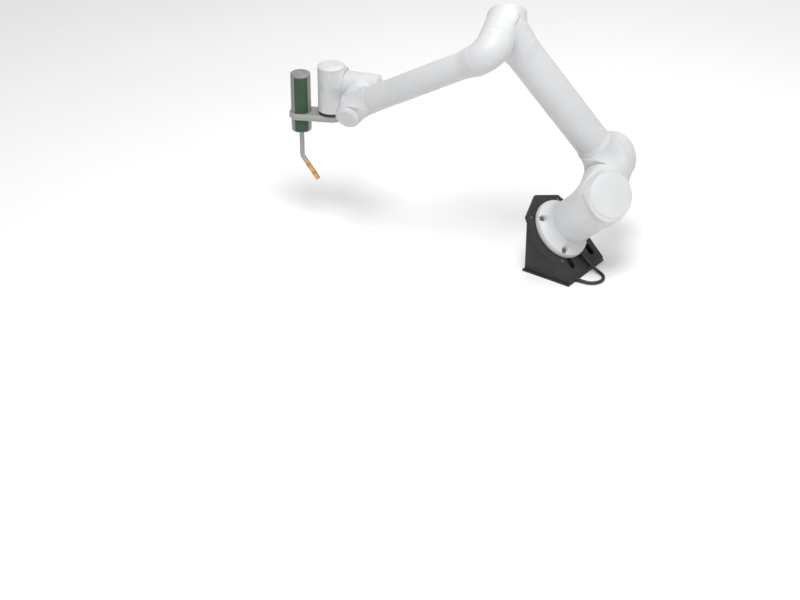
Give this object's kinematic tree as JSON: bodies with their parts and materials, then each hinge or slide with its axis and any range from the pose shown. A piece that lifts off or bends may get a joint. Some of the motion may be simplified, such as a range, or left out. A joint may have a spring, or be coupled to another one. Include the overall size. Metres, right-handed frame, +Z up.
{
  "type": "collaborative robot arm",
  "caption": "Six-axis collaborative robot arm on a 45 degree wedge pedestal, holding a straight-bodied welding torch in a clamp bracket.",
  "frame": {"origin": "centre of the four foot bolts on the foot's underside", "axes": "+Z up; +X down the pedestal's incline; +Y along the incline's level direction"},
  "size_m": [1.1375, 0.5917, 0.8892],
  "materials": {
    "arm_white": "cast aluminium with a satin white powder coat",
    "lid_white": "satin white plastic",
    "pedestal_black": "matte black powder coat",
    "fastener_steel": "zinc-plated",
    "gland_black": "moulded",
    "cable_jacket": "matte jacket",
    "drive_steel": "ground",
    "motor_housing": "anodised",
    "hub_aluminium": "machined",
    "plug_grey": "moulded",
    "tool_flange_black": "black anodised",
    "bracket_grey": "satin",
    "torch_green": "fine texture",
    "torch_grey": "satin grey",
    "neck_grey": "satin",
    "copper": "copper"
  },
  "bodies": {
    "base": {"pedestal_plate": "pedestal_black", "pedestal_left_wall": "pedestal_black", "pedestal_right_wall": "pedestal_black", "pedestal_back_wall": "pedestal_black", "pedestal_foot": "pedestal_black", "pedestal_screws": "fastener_steel", "pedestal_gland": "gland_black", "base_flange": "arm_white", "base_bolts": "fastener_steel", "cable_gland": "gland_black", "base_cable": "cable_jacket", "j1_hub": "hub_aluminium"},
    "shoulder": {"shoulder_casting": "arm_white", "shoulder_lid": "lid_white", "j1_bearing": "drive_steel", "j1_gear": "drive_steel", "j1_motor": "motor_housing", "j2_bearing": "drive_steel", "j2_gear": "drive_steel", "j2_motor": "motor_housing"},
    "upper_arm": {"upper_arm_shoulder_casting": "arm_white", "upper_arm_shoulder_lid": "lid_white", "upper_arm_tube": "arm_white", "upper_arm_elbow_casting": "arm_white", "upper_arm_elbow_lid": "lid_white", "j2_hub": "hub_aluminium", "j3_bearing": "drive_steel", "j3_gear": "drive_steel", "j3_motor": "motor_housing"},
    "forearm": {"forearm_elbow_casting": "arm_white", "forearm_tube": "arm_white", "forearm_wrist_casting": "arm_white", "forearm_wrist_lid": "lid_white", "j3_hub": "hub_aluminium", "j4_bearing": "drive_steel", "j4_gear": "drive_steel", "j4_motor": "motor_housing"},
    "wrist_1": {"wrist_1_casting": "arm_white", "wrist_1_lid": "lid_white", "j4_hub": "hub_aluminium", "j5_bearing": "drive_steel", "j5_gear": "drive_steel", "j5_motor": "motor_housing"},
    "wrist_2": {"wrist_2_casting": "arm_white", "wrist_2_lid": "lid_white", "wrist_2_plug": "plug_grey", "j5_hub": "hub_aluminium", "j6_bearing": "drive_steel", "j6_gear": "drive_steel", "j6_motor": "motor_housing"},
    "tool": {"tool_flange": "tool_flange_black", "torch_bracket": "bracket_grey", "bracket_screws": "fastener_steel", "torch_body": "torch_grey", "torch_panels": "torch_green", "torch_cap": "torch_grey", "torch_neck": "neck_grey", "torch_nozzle": "copper", "contact_tip": "copper", "welding_wire": "copper"}
  },
  "joints": [
    {"name": "base_turn", "type": "hinge", "parent": "base", "child": "shoulder", "pos_m": [0.01893, 0, 0.16993], "axis": [0.7071, 0, 0.7071], "range_deg": [-190, 150]},
    {"name": "shoulder_swing", "type": "hinge", "parent": "shoulder", "child": "upper_arm", "pos_m": [0.07879, 0.10151, 0.29673], "axis": [-0.2988, 0.9063, 0.2988], "range_deg": [-60, 205]},
    {"name": "elbow_bend", "type": "hinge", "parent": "upper_arm", "child": "forearm", "pos_m": [-0.19371, -0.15363, 0.798], "axis": [-0.2988, 0.9063, 0.2988], "range_deg": [-50, 205]},
    {"name": "wrist_1_swing", "type": "hinge", "parent": "forearm", "child": "wrist_1", "pos_m": [-0.67513, -0.23504, 0.5133], "axis": [-0.2988, 0.9063, 0.2988], "range_deg": [-130, 70]},
    {"name": "wrist_2_turn", "type": "hinge", "parent": "wrist_1", "child": "wrist_2", "pos_m": [-0.74605, -0.20517, 0.52913], "axis": [-0.9497, -0.3131, 0], "range_deg": [-175, 175]},
    {"name": "tool_turn", "type": "hinge", "parent": "wrist_2", "child": "tool", "pos_m": [-0.79543, -0.22145, 0.43113], "axis": [0, 0, -1], "range_deg": [-90, 70]}
  ]
}
